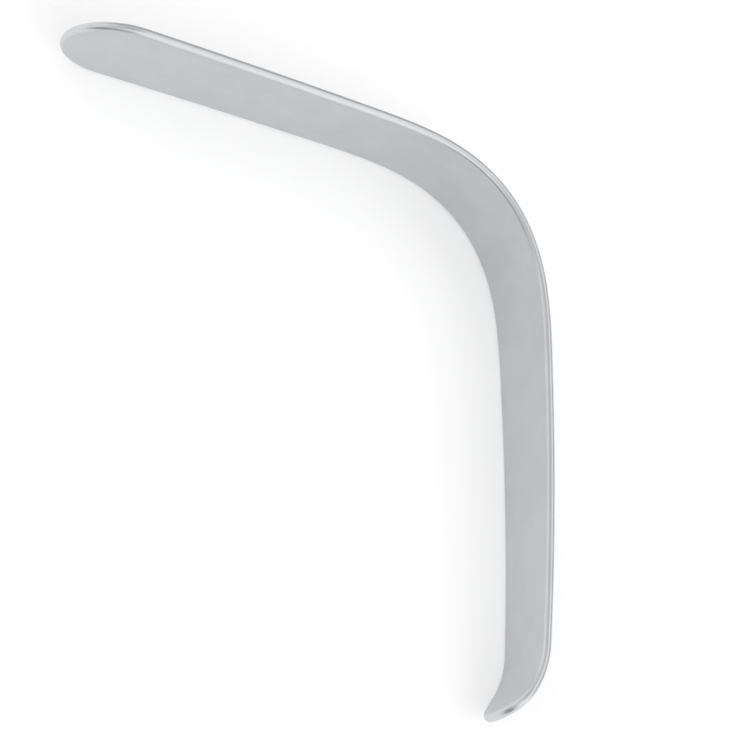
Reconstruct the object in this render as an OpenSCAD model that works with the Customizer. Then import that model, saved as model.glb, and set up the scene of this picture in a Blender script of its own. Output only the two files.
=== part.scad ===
// Angled tongue depressor: one strip of sheet steel, tapered from a wide handle to a
// narrow blade, bent between the two, curled over at the blade's end and rounded all
// along its edges. It lies on its narrow side, as it comes to rest on a tray, with the
// handle along X and the blade towards -Y. The origin is under the middle of the part.

/* [Handle] */
// Width of the strip at the round end of the handle
handle_w = 23.5; // [19:0.5:28]
// Length along the sheet from the handle's end to the start of the bend
handle_len = 57.5; // [45:0.5:80]
// Slight curve of the handle over its whole length, in degrees
handle_bow = 1.5; // [0:0.5:4]

/* [Bend] */
// Angle between the lines of the handle and the blade
bend_angle = 80; // [55:1:95]
// Length along the sheet over which the bend eases in and out
bend_len = 81; // [60:0.5:95]

/* [Blade] */
// Length along the sheet from the end of the bend to the start of the lip
blade_len = 51; // [38:1:70]
// Slight curve of the blade over its whole length, in degrees
blade_bow = 4.5; // [0:0.5:8]
// Width of the strip at the round end of the blade
tip_w = 15.5; // [12:0.5:18]

/* [Lip] */
// Radius of the curled lip, to the middle of the sheet
lip_r = 18.5; // [14:0.5:24]
// Angle that the lip turns through
lip_angle = 55; // [35:1:70]

/* [Sheet] */
// Thickness of the sheet
thick = 2; // [1.5:0.1:2.5]
// How round the edges are: 1 would be a full half-round across the thickness
edge_round = 0.95; // [0.3:0.05:0.95]

/* [Hidden] */
steel = "#bcc0c3";

// Steps around each half-round end, along each side, round each edge and of the path
end_steps = 14;
side_steps = 112;
edge_steps = 4;
path_steps = 450;

// Where each stretch starts, measured along the middle of the sheet
bend_start = handle_len;
blade_start = bend_start + bend_len;
lip_start = blade_start + blade_len;
lip_len = lip_r * lip_angle * PI / 180;
sheet_len = lip_start + lip_len;

// Radius of the rounded edges
edge_r = edge_round * thick / 2;

// The flat blank is a round end of each width, joined by straight tapering sides
end_r = handle_w / 2;
tip_r = tip_w / 2;
end_centre = end_r;
tip_centre = sheet_len - tip_r;
side_tilt = asin((end_r - tip_r) / (tip_centre - end_centre));

// Part of a stretch that lies before a place on it, from 0 to 1
function part_of(place, start, length) = min(1, max(0, (place - start) / length));

// A turn that begins and ends gently and is tightest half-way
function eased(part) = part - sin(360 * part) / (2 * PI);

// Direction of the sheet at a place along it, turning clockwise from +X
function heading(place) =
    -handle_bow * part_of(place, 0, handle_len)
    - bend_angle * eased(part_of(place, bend_start, bend_len))
    - blade_bow * part_of(place, blade_start, blade_len)
    - lip_angle * part_of(place, lip_start, lip_len);

// The middle line of the sheet, walked in short steps from the handle's end
path_step = sheet_len / path_steps;
function walk(i) = let (a = heading((i + 0.5) * path_step)) path_step * [cos(a), sin(a)];
path = [for (i = 0, p = [0, 0]; i <= path_steps; p = p + walk(i), i = i + 1) p];
path_x = [for (i = [0:path_steps]) [i * path_step, path[i].x]];
path_y = [for (i = [0:path_steps]) [i * path_step, path[i].y]];

// A point of the bent sheet: how far along, how far across, how far off its middle
function bent(along, across, off) =
    let (a = heading(along))
    [lookup(along, path_x) - off * sin(a), lookup(along, path_y) + off * cos(a), across];

// Half of the blank's outline, set in from the edge: the handle's round end, the straight
// side and the blade's round end, as [along, across]
function on_round(centre, r, a) = [centre + r * cos(a), r * sin(a)];
function half_outline(inset) =
    let (from = on_round(end_centre, end_r - inset, 90 - side_tilt),
         to = on_round(tip_centre, tip_r - inset, 90 - side_tilt))
    concat(
        [for (k = [0:end_steps])
            on_round(end_centre, end_r - inset, 180 - (90 + side_tilt) * k / end_steps)],
        [for (k = [1:side_steps - 1]) from + (to - from) * k / side_steps],
        [for (k = [0:end_steps])
            on_round(tip_centre, tip_r - inset, (90 - side_tilt) * (1 - k / end_steps))]);

// The sheet is a stack of outlines from its inner face to its outer face. Round the edge
// each outline is set in as a circle's arc is, as [inset, off]
function edge_layer(face, a) =
    [edge_r * (1 - cos(a)), face * (thick / 2 - edge_r + edge_r * sin(a))];
layers = concat(
    [for (k = [0:edge_steps]) edge_layer(-1, 90 - 90 * k / edge_steps)],
    [for (k = [0:edge_steps]) edge_layer(1, 90 * k / edge_steps)]);

// Each outline runs up one side and back down the other, without the two end points twice
last = 2 * end_steps + side_steps;
ring = 2 * last;
function full_outline(half) = concat(
    half,
    [for (k = [1:last - 1]) [half[last - k].x, -half[last - k].y]]);
sheet_points = [
    for (layer = layers)
        for (p = full_outline(half_outline(layer[0])))
            bent(p.x, p.y, layer[1])
];

// Bands of triangles round the edge, and the two broad faces as strips across the sheet
function at(layer, k) = layer * ring + k % ring;
band_faces = [
    for (i = [0:len(layers) - 2])
        for (k = [0:ring - 1])
            for (half = [0, 1])
                half == 0 ? [at(i, k), at(i, k + 1), at(i + 1, k + 1)]
                          : [at(i, k), at(i + 1, k + 1), at(i + 1, k)]
];
function broad_face(layer, flip) = [
    for (k = [0:last - 1])
        for (half = [0, 1])
            let (a = at(layer, k),
                 b = at(layer, k + 1),
                 c = at(layer, ring - k - 1),
                 d = at(layer, ring - k),
                 face = half == 0 ? [a, c, b] : [a, d, c])
            if ((half == 0 ? k < last - 1 : k > 0)) flip ? [face[0], face[2], face[1]] : face
];
sheet_faces = concat(
    band_faces,
    broad_face(0, false),
    broad_face(len(layers) - 1, true));

// On a tray the tapered strip lies on three points of its lower edge: beside the round
// ends and at the middle of the bend. That plane becomes level.
function low_point(place) =
    bent(place, (place - end_centre) * tan(side_tilt) - end_r / cos(side_tilt), 0);
under_end = low_point(end_centre);
under_bend = low_point(bend_start + bend_len / 2);
under_tip = low_point(tip_centre);
function unit(v) = v / norm(v);
rest_z = unit(cross(under_tip - under_end, under_bend - under_end));
rest_x = unit([1, 0, 0] - rest_z.x * rest_z);
rest_y = cross(rest_z, rest_x);
level_points = [for (p = sheet_points) [rest_x * p, rest_y * p, rest_z * p]];
low_corner = [for (i = [0:2]) min([for (p = level_points) p[i]])];
high_corner = [for (i = [0:2]) max([for (p = level_points) p[i]])];
middle = (low_corner + high_corner) / 2;
origin_at = [middle.x, middle.y, low_corner.z];

module depressor() {
    color(steel)
        polyhedron([for (p = level_points) p - origin_at], sheet_faces, convexity = 6);
}

depressor();
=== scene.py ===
"""Angled tongue depressor of satin steel, lying on its narrow side in a plain white studio.

The sheet is cut as a flat blank with round ends and rounded edges, and Geometry Nodes
bend it along the handle, the main bend, the blade and the lip.
"""
import math
from typing import NamedTuple

import bpy
from bpy.props import FloatProperty, FloatVectorProperty, PointerProperty
from mathutils import Matrix, Vector


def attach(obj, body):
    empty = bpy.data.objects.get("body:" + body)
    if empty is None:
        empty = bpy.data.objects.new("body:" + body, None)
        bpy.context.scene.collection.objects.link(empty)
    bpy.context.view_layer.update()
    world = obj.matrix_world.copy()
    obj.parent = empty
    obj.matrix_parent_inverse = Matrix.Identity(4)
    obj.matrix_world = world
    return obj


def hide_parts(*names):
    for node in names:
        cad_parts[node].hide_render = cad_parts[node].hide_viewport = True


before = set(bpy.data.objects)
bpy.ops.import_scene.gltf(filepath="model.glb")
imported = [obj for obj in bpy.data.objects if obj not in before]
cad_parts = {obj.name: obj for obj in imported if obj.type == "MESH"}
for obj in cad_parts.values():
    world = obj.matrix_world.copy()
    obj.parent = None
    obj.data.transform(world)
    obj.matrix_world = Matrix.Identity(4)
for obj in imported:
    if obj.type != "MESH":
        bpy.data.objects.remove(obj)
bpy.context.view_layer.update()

bl_info = {
    "name": "Angled Tongue Depressor",
    "version": (1, 0, 0),
    "blender": (4, 5, 0),
    "location": "View3D > Sidebar > Depressor",
    "description": "Builds a bent, tapered steel tongue depressor and its studio",
    "category": "Add Mesh",
}

MM = 0.001
CAD_NODE = "depressor"
PIECE = "bent_sheet"

# How finely the sheet is divided, and the narrow row of faces beside each edge
END_STEPS = 24
SIDE_STEPS = 300
EDGE_STEPS = 8
ACROSS_STEPS = 12
PATH_STEPS = 900
BORDER = 0.2 * MM

# How many octaves of noise the clouds and the grain of the steel have
CLOUD_DETAIL = 4.0
GRAIN_DETAIL = 2.0

# The photograph is square. The sensor is in millimetres, the near limit in metres
IMAGE_SIZE = 750
SENSOR = 36.0
NEAR_LIMIT = 0.01


class Screen(NamedTuple):
    """A brighter or darker screen of the studio, as directions seen from the part"""

    name: str
    heading: float
    half_width: float
    bottom: float
    top: float
    level: float


class BlankEnds(NamedTuple):
    """The two round ends of the flat blank, and the tilt of the sides between them"""

    handle_radius: float
    handle_centre: float
    tip_radius: float
    tip_centre: float
    tilt: float


# Headings turn from +X to +Y, in degrees. A later screen stands in front of an earlier one
SCREEN_BLUR = 14.0
SCREENS = (
    Screen("front_window", -32, 80, -20, 69, 1.27),
    Screen("left_wall", 167, 51, 8, 38, 1.1),
    Screen("back_shade", 51, 70, 8, 36, 0.36),
    Screen("camera_opening", -120, 43, -20, 28, 0.25),
    Screen("ceiling", 0, 200, 70, 110, 0.61),
)


class SheetSizes(bpy.types.PropertyGroup):
    """Sizes of the sheet, with lengths measured along its middle"""

    handle_width: FloatProperty(
        name="Handle width", description="Width at the handle's round end",
        default=23.5 * MM, unit="LENGTH", subtype="DISTANCE")
    handle_length: FloatProperty(
        name="Handle length", description="From the handle's end to the start of the bend",
        default=57.5 * MM, unit="LENGTH", subtype="DISTANCE")
    handle_bow: FloatProperty(
        name="Handle bow", description="Slight curve over the whole handle",
        default=math.radians(1.5), unit="ROTATION", subtype="ANGLE")
    bend_length: FloatProperty(
        name="Bend length", description="Length over which the bend eases in and out",
        default=81.0 * MM, unit="LENGTH", subtype="DISTANCE")
    bend_angle: FloatProperty(
        name="Bend angle", description="Angle between the lines of handle and blade",
        default=math.radians(80.0), unit="ROTATION", subtype="ANGLE")
    blade_length: FloatProperty(
        name="Blade length", description="From the end of the bend to the start of the lip",
        default=51.0 * MM, unit="LENGTH", subtype="DISTANCE")
    blade_bow: FloatProperty(
        name="Blade bow", description="Slight curve over the whole blade",
        default=math.radians(4.5), unit="ROTATION", subtype="ANGLE")
    tip_width: FloatProperty(
        name="Tip width", description="Width at the blade's round end",
        default=15.5 * MM, unit="LENGTH", subtype="DISTANCE")
    lip_radius: FloatProperty(
        name="Lip radius", description="Radius of the curled lip",
        default=18.5 * MM, unit="LENGTH", subtype="DISTANCE")
    lip_angle: FloatProperty(
        name="Lip angle", description="Angle that the lip turns through",
        default=math.radians(55.0), unit="ROTATION", subtype="ANGLE")
    thickness: FloatProperty(
        name="Thickness", description="Thickness of the sheet",
        default=2.0 * MM, unit="LENGTH", subtype="DISTANCE")
    edge_radius: FloatProperty(
        name="Edge radius", description="Radius of the rounded edges",
        default=0.95 * MM, unit="LENGTH", subtype="DISTANCE")
    polish_turn: FloatProperty(
        name="Polish turn", description="How far the polish goes round, from the rim to a face",
        default=math.radians(60.0), unit="ROTATION", subtype="ANGLE")


class SteelLook(bpy.types.PropertyGroup):
    """Colour and finish of the steel"""

    colour: FloatVectorProperty(
        name="Steel colour", description="Colour of the blasted faces",
        default=(0.64, 0.648, 0.669), size=3, min=0.0, max=1.0, subtype="COLOR")
    face_roughness: FloatProperty(
        name="Face roughness", description="Roughness of the blasted faces",
        default=0.62, min=0.0, max=1.0, subtype="FACTOR")
    edge_roughness: FloatProperty(
        name="Edge roughness", description="Roughness of the polished edges",
        default=0.32, min=0.0, max=1.0, subtype="FACTOR")
    grain_size: FloatProperty(
        name="Grain size", description="Size of one pit of the blasted finish",
        default=0.18 * MM, unit="LENGTH", subtype="DISTANCE")
    grain_depth: FloatProperty(
        name="Grain depth", description="Depth of the blasted finish",
        default=0.01 * MM, unit="LENGTH", subtype="DISTANCE")
    face_grain: FloatProperty(
        name="Face grain", description="Strength of the grain on the faces",
        default=0.35, min=0.0, max=1.0, subtype="FACTOR")
    edge_grain: FloatProperty(
        name="Edge grain", description="Strength of the grain left on the edges",
        default=0.05, min=0.0, max=1.0, subtype="FACTOR")
    cloud_size: FloatProperty(
        name="Cloud size", description="Size of the faint clouds in the finish",
        default=7.0 * MM, unit="LENGTH", subtype="DISTANCE")
    cloud_tint: FloatProperty(
        name="Cloud tint", description="How far the clouds change the colour",
        default=0.08, min=0.0, max=1.0, subtype="FACTOR")
    cloud_roughness: FloatProperty(
        name="Cloud roughness", description="How far the clouds change the roughness",
        default=0.03, min=0.0, max=1.0, subtype="FACTOR")


class StudioLook(bpy.types.PropertyGroup):
    """Floor, surrounding light and camera"""

    floor_colour: FloatVectorProperty(
        name="Floor colour", description="Colour of the floor",
        default=(0.9, 0.9, 0.9), size=3, min=0.0, max=1.0, subtype="COLOR")
    floor_glow: FloatProperty(
        name="Floor glow", description="Light the floor adds for the camera and for gloss",
        default=0.28, min=0.0)
    surround_colour: FloatVectorProperty(
        name="Surround colour", description="Colour of the light from all round",
        default=(1.0, 1.0, 1.0), size=3, min=0.0, max=1.0, subtype="COLOR")
    surround_level: FloatProperty(
        name="Surround level", description="Strength of the light from all round",
        default=0.8, min=0.0)
    floor_width: FloatProperty(
        name="Floor width", description="Side of the square floor",
        default=3.0, unit="LENGTH", subtype="DISTANCE")
    camera_azimuth: FloatProperty(
        name="Camera azimuth", description="Heading of the view, 0 along +Y",
        default=math.radians(-50.31), unit="ROTATION", subtype="ANGLE")
    camera_elevation: FloatProperty(
        name="Camera elevation", description="How far above level the camera stands",
        default=math.radians(57.38), unit="ROTATION", subtype="ANGLE")
    camera_roll: FloatProperty(
        name="Camera roll", description="Turn of the picture about the line of sight",
        default=math.radians(60.82), unit="ROTATION", subtype="ANGLE")
    camera_distance: FloatProperty(
        name="Camera distance", description="From the camera to the point it looks at",
        default=840.8 * MM, unit="LENGTH", subtype="DISTANCE")
    camera_target: FloatVectorProperty(
        name="Camera target", description="Point on the floor that the camera looks at",
        default=(21.4 * MM, 9.56 * MM, 0.0), size=3, unit="LENGTH", subtype="XYZ")
    camera_focal_pixels: FloatProperty(
        name="Focal length in pixels", description="Focal length over the size of a pixel",
        default=4211.9)


# The sheet in numbers

def sheet_length(s):
    """Length of the sheet along its middle."""
    return s.handle_length + s.bend_length + s.blade_length + s.lip_radius * s.lip_angle


def blank_ends(s):
    """The round ends of the blank and the tilt of its straight sides."""
    handle_radius = s.handle_width / 2
    tip_radius = s.tip_width / 2
    tip_centre = sheet_length(s) - tip_radius
    tilt = math.asin((handle_radius - tip_radius) / (tip_centre - handle_radius))
    return BlankEnds(handle_radius, handle_radius, tip_radius, tip_centre, tilt)


def part_of(place, start, length):
    """Part of a stretch that lies before a place on it, from 0 to 1."""
    return min(1.0, max(0.0, (place - start) / length))


def heading(s, place):
    """Direction of the sheet at a place along it, turning clockwise from +X."""
    bend_start = s.handle_length
    blade_start = bend_start + s.bend_length
    lip_start = blade_start + s.blade_length
    bend = part_of(place, bend_start, s.bend_length)
    eased = bend - math.sin(math.tau * bend) / math.tau
    return -(s.handle_bow * part_of(place, 0.0, s.handle_length)
             + s.bend_angle * eased
             + s.blade_bow * part_of(place, blade_start, s.blade_length)
             + s.lip_angle * part_of(place, lip_start, s.lip_radius * s.lip_angle))


def centre_at(s, place):
    """Point of the middle line, walked in short steps from the handle's end."""
    step = place / PATH_STEPS
    total = Vector((0.0, 0.0, 0.0))
    for i in range(PATH_STEPS):
        turn = heading(s, (i + 0.5) * step)
        total += step * Vector((math.cos(turn), math.sin(turn), 0.0))
    return total


def level_frame(s):
    """Turn that lays the sheet on three points of its lower edge, as it comes to rest."""
    ends = blank_ends(s)

    def low_point(place):
        half = ends.handle_radius / math.cos(ends.tilt)
        half -= (place - ends.handle_centre) * math.tan(ends.tilt)
        return centre_at(s, place) - Vector((0.0, 0.0, half))

    under_end = low_point(ends.handle_centre)
    under_bend = low_point(s.handle_length + s.bend_length / 2)
    under_tip = low_point(ends.tip_centre)
    up = (under_tip - under_end).cross(under_bend - under_end).normalized()
    along = (Vector((1.0, 0.0, 0.0)) - up.x * up).normalized()
    return Matrix((along, up.cross(along), up))


# The flat blank

def half_outline(s, inset):
    """One side of the blank's outline, set in from the edge, as (along, across)."""
    ends = blank_ends(s)

    def on_round(centre, radius, turn):
        r = radius - inset
        return (centre + r * math.cos(turn), r * math.sin(turn))

    side_turn = math.pi / 2 - ends.tilt
    first = [on_round(ends.handle_centre, ends.handle_radius,
                      math.pi - (math.pi - side_turn) * k / END_STEPS)
             for k in range(END_STEPS + 1)]
    final = [on_round(ends.tip_centre, ends.tip_radius, side_turn * (1 - k / END_STEPS))
             for k in range(END_STEPS + 1)]
    start, stop = first[-1], final[0]
    side = [tuple(a + (b - a) * k / SIDE_STEPS for a, b in zip(start, stop))
            for k in range(1, SIDE_STEPS)]
    outline = first + side + final

    # The first and the last point lie exactly on the middle line
    outline[0] = (outline[0][0], 0.0)
    outline[-1] = (outline[-1][0], 0.0)
    return outline


def blank_layers(s):
    """Inset, height and polish of each outline, from the inner face to the outer.

    The first and the last lie on the broad faces, a narrow border in from the edge.
    """
    flat = s.thickness / 2 - s.edge_radius
    upper = []
    for k in range(EDGE_STEPS + 1):
        turn = math.pi / 2 * k / EDGE_STEPS
        polish = 1.0 if turn < s.polish_turn else 0.0
        upper.append((s.edge_radius * (1 - math.cos(turn)),
                      flat + s.edge_radius * math.sin(turn), polish))
    upper.append((s.edge_radius + BORDER, s.thickness / 2, 0.0))
    lower = [(inset, -off, polish) for inset, off, polish in reversed(upper)]
    return lower + upper


def blank_mesh(s):
    """The blank as a flat closed shell: along in x, across in y, off the middle in z."""
    layers = blank_layers(s)
    halves = [half_outline(s, inset) for inset, _, _ in layers]
    last = len(halves[0]) - 1
    ring = 2 * last
    verts = []
    for (_, off, _), half in zip(layers, halves):
        # Up one side and back down the other, without the two end points twice
        verts += [(x, y, off) for x, y in half]
        verts += [(x, -y, off) for x, y in reversed(half[1:-1])]
    faces = []
    for i in range(len(layers) - 1):
        low, high = i * ring, (i + 1) * ring
        for k in range(ring):
            n = (k + 1) % ring
            faces.append((low + k, high + k, high + n, low + n))
    for i, outward in ((0, False), (len(layers) - 1, True)):
        faces += broad_face(verts, halves[i], layers[i][1], i * ring, outward)
    mesh = bpy.data.meshes.new(PIECE)
    mesh.from_pydata(verts, [], faces)
    store_pattern(mesh, ring, layers, s)
    return mesh


def broad_face(verts, half, off, base, outward):
    """Rows of faces across one broad face."""
    last = len(half) - 1
    ring = 2 * last
    rows = [1 - 2 * k / ACROSS_STEPS for k in range(1, ACROSS_STEPS)]
    columns = []
    for k in range(1, last):
        x, y = half[k]
        inner = []
        for row in rows:
            inner.append(len(verts))
            verts.append((x, y * row, off))
        columns.append([base + k] + inner + [base + ring - k])
    faces = []
    for left, right in zip(columns, columns[1:]):
        for k in range(len(left) - 1):
            faces.append((left[k], right[k], right[k + 1], left[k + 1]))
    for column, point, flip in ((columns[0], base, False), (columns[-1], base + last, True)):
        for a, b in zip(column, column[1:]):
            faces.append((point, b, a) if flip else (point, a, b))
    return [tuple(reversed(f)) for f in faces] if outward else faces


def store_pattern(mesh, ring, layers, s):
    """Keep the flat sheet's own coordinates, and how much each point is polished edge."""
    uv = mesh.uv_layers.new(name="flat_sheet")
    scale = 1.0 / sheet_length(s)
    for loop in mesh.loops:
        x, y, _ = mesh.vertices[loop.vertex_index].co
        uv.data[loop.index].uv = (x * scale, 0.5 + y * scale)
    edge = mesh.attributes.new("edge", "FLOAT", "POINT")
    for i, (_, _, polish) in enumerate(layers):
        for k in range(ring):
            edge.data[i * ring + k].value = polish


# Node trees

class Graph:
    """Short calls for building a tree of geometry, material or world nodes."""

    def __init__(self, tree):
        self.tree = tree
        self.nodes = tree.nodes
        self.links = tree.links

    def socket_in(self, name, kind):
        self.tree.interface.new_socket(name, in_out="INPUT", socket_type=kind)

    def add(self, kind, **values):
        node = self.nodes.new(kind)
        for key, value in values.items():
            setattr(node, key, value)
        return node

    def put(self, value, socket):
        if isinstance(value, bpy.types.NodeSocket):
            self.links.new(value, socket)
        else:
            socket.default_value = value

    def math(self, operation, *values, clamp=False):
        node = self.add("ShaderNodeMath", operation=operation, use_clamp=clamp)
        for value, socket in zip(values, node.inputs):
            self.put(value, socket)
        return node.outputs[0]

    def vector(self, operation, a, b=None, scale=None):
        node = self.add("ShaderNodeVectorMath", operation=operation)
        self.put(a, node.inputs[0])
        if b is not None:
            self.put(b, node.inputs[1])
        if scale is not None:
            self.put(scale, node.inputs["Scale"])
        return node.outputs[0]

    def combine(self, x=0.0, y=0.0, z=0.0):
        node = self.add("ShaderNodeCombineXYZ")
        for value, socket in zip((x, y, z), node.inputs):
            self.put(value, socket)
        return node.outputs[0]

    def separate(self, vector):
        node = self.add("ShaderNodeSeparateXYZ")
        self.put(vector, node.inputs[0])
        return node.outputs

    def spread(self, value, low, high, start=0.0, stop=1.0, kind="LINEAR"):
        """Take a value from start..stop to low..high."""
        node = self.add("ShaderNodeMapRange", interpolation_type=kind)
        for name, amount in (("Value", value), ("From Min", start), ("From Max", stop),
                             ("To Min", low), ("To Max", high)):
            self.put(amount, node.inputs[name])
        return node.outputs["Result"]

    def mix(self, factor, a, b, kind="FLOAT"):
        node = self.add("ShaderNodeMix", data_type=kind)
        output = next(o for o in node.outputs if o.enabled)
        sockets = [i for i in node.inputs if i.enabled]
        for value, socket in zip((factor, a, b), sockets):
            self.put(value, socket)
        return output


# Geometry Nodes

def part_socket(g, place, start, length):
    """Part of a stretch that lies before a place on it, from 0 to 1."""
    return g.math("DIVIDE", g.math("SUBTRACT", place, start), length, clamp=True)


def heading_socket(g, place, sizes):
    """The heading of the sheet, as the function of that name gives it."""
    bend = part_socket(g, place, sizes["Handle length"], sizes["Bend length"])
    wave = g.math("SINE", g.math("MULTIPLY", bend, math.tau))
    eased = g.math("SUBTRACT", bend, g.math("DIVIDE", wave, math.tau))
    handle = part_socket(g, place, 0.0, sizes["Handle length"])
    blade = part_socket(g, place, sizes["blade start"], sizes["Blade length"])
    lip = part_socket(g, place, sizes["lip start"], sizes["lip length"])
    total = g.math("MULTIPLY", handle, sizes["Handle bow"])
    for part, angle in ((eased, "Bend angle"), (blade, "Blade bow"), (lip, "Lip angle")):
        total = g.math("ADD", total, g.math("MULTIPLY", part, sizes[angle]))
    return g.math("MULTIPLY", total, -1.0)


def bending_tree():
    """Tree that lays a flat sheet along the path and levels it."""
    g = Graph(bpy.data.node_groups.new("bend_sheet", "GeometryNodeTree"))
    g.socket_in("Flat sheet", "NodeSocketGeometry")
    lengths = ("Handle length", "Bend length", "Blade length", "Lip radius")
    angles = ("Handle bow", "Bend angle", "Blade bow", "Lip angle")
    for name in lengths + angles:
        g.socket_in(name, "NodeSocketFloat")
    g.socket_in("Level turn", "NodeSocketVector")
    g.socket_in("Steel", "NodeSocketMaterial")
    g.tree.interface.new_socket("Bent sheet", in_out="OUTPUT",
                                socket_type="NodeSocketGeometry")
    entry = g.add("NodeGroupInput")
    sizes = {name: entry.outputs[name] for name in lengths + angles}
    sizes["lip length"] = g.math("MULTIPLY", sizes["Lip radius"], sizes["Lip angle"])
    sizes["blade start"] = g.math("ADD", sizes["Handle length"], sizes["Bend length"])
    sizes["lip start"] = g.math("ADD", sizes["blade start"], sizes["Blade length"])
    total = g.math("ADD", sizes["lip start"], sizes["lip length"])

    # The path is a line of points, each one short step on from the last
    step = g.math("DIVIDE", total, float(PATH_STEPS))
    index = g.add("GeometryNodeInputIndex").outputs[0]
    half_way = g.math("MULTIPLY", g.math("ADD", index, 0.5), step)
    turn = heading_socket(g, half_way, sizes)
    move = g.vector("SCALE", g.combine(g.math("COSINE", turn), g.math("SINE", turn)),
                    scale=step)
    walk = g.add("GeometryNodeAccumulateField", data_type="FLOAT_VECTOR")
    g.put(move, walk.inputs["Value"])
    line = g.add("GeometryNodeMeshLine")
    line.inputs["Count"].default_value = PATH_STEPS + 1
    placed = g.add("GeometryNodeSetPosition")
    g.put(line.outputs[0], placed.inputs["Geometry"])
    g.put(walk.outputs["Trailing"], placed.inputs["Position"])
    curve = g.add("GeometryNodeMeshToCurve")
    g.put(placed.outputs[0], curve.inputs[0])

    # Each point of the sheet goes to its place along the path, off it and across it
    along, across, off = g.separate(g.add("GeometryNodeInputPosition").outputs[0])
    sample = g.add("GeometryNodeSampleCurve", mode="LENGTH")
    g.put(curve.outputs[0], sample.inputs["Curves"])
    g.put(along, sample.inputs["Length"])
    turn_here = heading_socket(g, along, sizes)
    side = g.combine(g.math("MULTIPLY", g.math("SINE", turn_here), -1.0),
                     g.math("COSINE", turn_here))
    moved = g.vector("ADD", sample.outputs["Position"], g.vector("SCALE", side, scale=off))
    moved = g.vector("ADD", moved, g.combine(z=across))
    bent = g.add("GeometryNodeSetPosition")
    g.put(entry.outputs["Flat sheet"], bent.inputs["Geometry"])
    g.put(moved, bent.inputs["Position"])

    # That swaps across and off, which turns the shell inside out, so its faces are flipped
    outwards = g.add("GeometryNodeFlipFaces")
    g.put(bent.outputs[0], outwards.inputs[0])

    # The bent sheet is laid level, and its faces are smoothed
    level = g.add("GeometryNodeTransform")
    g.put(outwards.outputs[0], level.inputs["Geometry"])
    turning = g.add("FunctionNodeEulerToRotation")
    g.put(entry.outputs["Level turn"], turning.inputs[0])
    g.put(turning.outputs[0], level.inputs["Rotation"])
    smooth = g.add("GeometryNodeSetShadeSmooth")
    g.put(level.outputs[0], smooth.inputs[0])
    real = g.add("GeometryNodeRealizeInstances")
    g.put(smooth.outputs[0], real.inputs[0])
    painted = g.add("GeometryNodeSetMaterial")
    g.put(real.outputs[0], painted.inputs["Geometry"])
    g.put(entry.outputs["Steel"], painted.inputs["Material"])
    leave = g.add("NodeGroupOutput")
    g.put(painted.outputs[0], leave.inputs[0])
    return g.tree


def set_inputs(modifier, values):
    """Set a modifier's inputs by the identifiers of their sockets."""
    for item in modifier.node_group.interface.items_tree:
        if item.item_type == "SOCKET" and item.in_out == "INPUT" and item.name in values:
            modifier[item.identifier] = values[item.name]


def made_plain(holder, name):
    """The evaluated object's mesh as a plain object of its own."""
    graph = bpy.context.evaluated_depsgraph_get()
    mesh = bpy.data.meshes.new_from_object(holder.evaluated_get(graph))
    mesh.name = name
    old_mesh = holder.data
    bpy.data.objects.remove(holder)
    bpy.data.meshes.remove(old_mesh)
    plain = bpy.data.objects.new(name, mesh)
    bpy.context.collection.objects.link(plain)
    return plain


def bent_sheet(s, steel):
    """Bend the blank, level it and centre it over the origin."""
    holder = bpy.data.objects.new(PIECE, blank_mesh(s))
    bpy.context.collection.objects.link(holder)
    modifier = holder.modifiers.new("Bend", "NODES")
    modifier.node_group = bending_tree()
    set_inputs(modifier, {
        "Handle length": s.handle_length,
        "Bend length": s.bend_length,
        "Blade length": s.blade_length,
        "Lip radius": s.lip_radius,
        "Handle bow": s.handle_bow,
        "Bend angle": s.bend_angle,
        "Blade bow": s.blade_bow,
        "Lip angle": s.lip_angle,
        "Level turn": list(level_frame(s).to_euler()),
        "Steel": steel,
    })
    sheet = made_plain(holder, PIECE)
    low, high = extent(sheet.data)
    middle = (low + high) / 2
    sheet.data.transform(Matrix.Translation((-middle.x, -middle.y, -low.z)))
    return sheet


def extent(mesh):
    """Lowest and highest corner of a mesh."""
    points = [v.co for v in mesh.vertices]
    low = Vector([min(p[i] for p in points) for i in range(3)])
    high = Vector([max(p[i] for p in points) for i in range(3)])
    return low, high


# Materials

def new_material(name):
    """A material and the graph of its empty tree."""
    material = bpy.data.materials.new(name)
    material.use_nodes = True
    material.node_tree.nodes.clear()
    return material, Graph(material.node_tree)


def satin_steel(look):
    """Fine blasted steel on the faces, smoother polished steel round the edges."""
    material, g = new_material("satin_steel")
    shader = g.add("ShaderNodeBsdfPrincipled")
    shader.inputs["Metallic"].default_value = 1.0
    g.put(shader.outputs[0], g.add("ShaderNodeOutputMaterial").inputs[0])
    place = g.add("ShaderNodeTexCoord").outputs["Object"]
    edge = g.add("ShaderNodeAttribute", attribute_name="edge").outputs["Fac"]

    def noise(size, detail):
        node = g.add("ShaderNodeTexNoise")
        g.put(place, node.inputs["Vector"])
        g.put(1.0 / size, node.inputs["Scale"])
        g.put(detail, node.inputs["Detail"])
        return node.outputs["Fac"]

    clouds = noise(look.cloud_size, CLOUD_DETAIL)
    grain = noise(look.grain_size, GRAIN_DETAIL)

    dark, pale = ([c * (1 + side * look.cloud_tint) for c in look.colour] + [1.0]
                  for side in (-1, 1))
    g.put(g.mix(clouds, dark, pale, "RGBA"), shader.inputs["Base Color"])

    faces = g.spread(clouds, look.face_roughness - look.cloud_roughness,
                     look.face_roughness + look.cloud_roughness)
    g.put(g.mix(edge, faces, look.edge_roughness), shader.inputs["Roughness"])

    bump = g.add("ShaderNodeBump")
    g.put(look.grain_depth, bump.inputs["Distance"])
    g.put(g.spread(edge, look.face_grain, look.edge_grain), bump.inputs["Strength"])
    g.put(grain, bump.inputs["Height"])
    g.put(bump.outputs[0], shader.inputs["Normal"])
    return material


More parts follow.
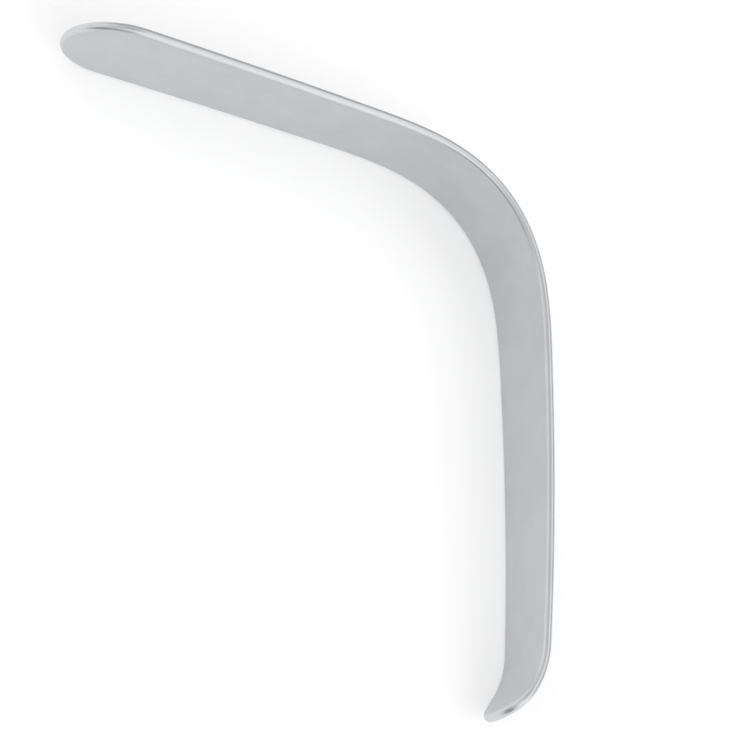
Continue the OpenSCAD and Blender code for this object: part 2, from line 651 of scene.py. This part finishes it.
def floor_white(look):
    """White floor that shows as white to the camera and in the steel, with the shadow."""
    material, g = new_material("studio_white")
    matt = g.add("ShaderNodeBsdfDiffuse")
    g.put(list(look.floor_colour) + [1.0], matt.inputs["Color"])
    glow = g.add("ShaderNodeEmission")
    rays = g.add("ShaderNodeLightPath").outputs
    seen = g.math("MAXIMUM", rays["Is Camera Ray"], rays["Is Glossy Ray"])
    g.put(g.math("MULTIPLY", seen, look.floor_glow), glow.inputs["Strength"])
    both = g.add("ShaderNodeAddShader")
    g.put(matt.outputs[0], both.inputs[0])
    g.put(glow.outputs[0], both.inputs[1])
    g.put(both.outputs[0], g.add("ShaderNodeOutputMaterial").inputs[0])
    return material


# Stage

def seen_screen(g, direction, screen):
    """1 where a direction meets the screen, easing to 0 round its border."""
    middle = math.radians(screen.heading)
    across, ahead = math.sin(middle), math.cos(middle)
    x, y, height = g.separate(direction)
    facing = g.math("ADD", g.math("MULTIPLY", x, ahead), g.math("MULTIPLY", y, across))
    beside = g.math("SUBTRACT", g.math("MULTIPLY", y, ahead), g.math("MULTIPLY", x, across))
    turn = g.math("ABSOLUTE", g.math("ARCTAN2", beside, facing))
    rise = g.math("ARCSINE", height)

    def border(value, limit, before, after):
        half = math.radians(SCREEN_BLUR) / 2
        limit = math.radians(limit)
        return g.spread(value, before, after, limit - half, limit + half, "SMOOTHSTEP")

    inside = border(turn, screen.half_width, 1.0, 0.0)
    inside = g.math("MULTIPLY", inside, border(rise, screen.bottom, 0.0, 1.0))
    return g.math("MULTIPLY", inside, border(rise, screen.top, 1.0, 0.0))


def studio_world(look):
    """Even pale light from all round, with the brighter and darker screens set in it.

    The camera sees it as plain white.
    """
    world = bpy.data.worlds.new("studio")
    bpy.context.scene.world = world
    world.use_nodes = True
    g = Graph(world.node_tree)
    direction = g.add("ShaderNodeTexCoord").outputs["Generated"]
    level = look.surround_level
    for screen in SCREENS:
        level = g.mix(seen_screen(g, direction, screen), level, screen.level)
    straight = g.add("ShaderNodeLightPath").outputs["Is Camera Ray"]
    level = g.mix(straight, level, 1.0)
    back = g.nodes["Background"]
    g.put(list(look.surround_colour) + [1.0], back.inputs["Color"])
    g.put(level, back.inputs["Strength"])


def floor(look):
    """The white surface that the part lies on."""
    half = look.floor_width / 2
    corners = [(-half, -half, 0), (half, -half, 0), (half, half, 0), (-half, half, 0)]
    mesh = bpy.data.meshes.new("studio_floor")
    mesh.from_pydata(corners, [], [(0, 1, 2, 3)])
    plane = bpy.data.objects.new("studio_floor", mesh)
    bpy.context.collection.objects.link(plane)
    mesh.materials.append(floor_white(look))


def camera(look):
    """Camera at the photograph's viewing angle."""
    data = bpy.data.cameras.new("photo_view")
    data.sensor_width = SENSOR
    data.lens = look.camera_focal_pixels * SENSOR / IMAGE_SIZE
    data.clip_start = NEAR_LIMIT
    view = bpy.data.objects.new("photo_view", data)
    bpy.context.collection.objects.link(view)
    az, el = look.camera_azimuth, look.camera_elevation
    back = Vector((math.sin(az) * math.cos(el), -math.cos(az) * math.cos(el), math.sin(el)))
    view.location = Vector(look.camera_target) + look.camera_distance * back
    upright = (-back).to_track_quat("-Z", "Y").to_matrix()
    view.rotation_euler = (upright @ Matrix.Rotation(look.camera_roll, 3, "Z")).to_euler()
    bpy.context.scene.camera = view


# Operators and panel

class AddSheet(bpy.types.Operator):
    """Build the bent sheet in satin steel"""

    bl_idname = "object.add_depressor_sheet"
    bl_label = "Bent sheet"

    def execute(self, context):
        scene = context.scene
        sheet = bent_sheet(scene.sheet_sizes, satin_steel(scene.steel_look))
        if not sheet.data.polygons:
            raise RuntimeError("the bent sheet has no faces")
        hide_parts(CAD_NODE)
        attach(sheet, "root")
        return {"FINISHED"}


class AddStudio(bpy.types.Operator):
    """Build the light from all round, the floor and the camera"""

    bl_idname = "object.add_depressor_studio"
    bl_label = "Studio"

    def execute(self, context):
        look = context.scene.studio_look
        context.scene.view_settings.view_transform = "Standard"
        studio_world(look)
        floor(look)
        camera(look)
        return {"FINISHED"}


class DepressorPanel(bpy.types.Panel):
    """Lists the pieces and their sizes"""

    bl_idname = "VIEW3D_PT_depressor"
    bl_label = "Tongue depressor"
    bl_space_type = "VIEW_3D"
    bl_region_type = "UI"
    bl_category = "Depressor"

    def draw(self, context):
        for group in ("sheet_sizes", "steel_look", "studio_look"):
            settings = getattr(context.scene, group)
            box = self.layout.box()
            for name in settings.__annotations__:
                box.prop(settings, name)
        for operator in (AddSheet, AddStudio):
            self.layout.operator(operator.bl_idname)


GROUPS = {"sheet_sizes": SheetSizes, "steel_look": SteelLook, "studio_look": StudioLook}
CLASSES = (*GROUPS.values(), AddSheet, AddStudio, DepressorPanel)


def register():
    """Add the classes and the scene's settings."""
    for cls in CLASSES:
        bpy.utils.register_class(cls)
    for name, cls in GROUPS.items():
        setattr(bpy.types.Scene, name, PointerProperty(type=cls))


def unregister():
    """Remove them again."""
    for name in GROUPS:
        delattr(bpy.types.Scene, name)
    for cls in reversed(CLASSES):
        bpy.utils.unregister_class(cls)


def main():
    """Build the part and its studio."""
    register()
    bpy.ops.object.add_depressor_sheet()
    bpy.ops.object.add_depressor_studio()


if __name__ == "__main__":
    main()
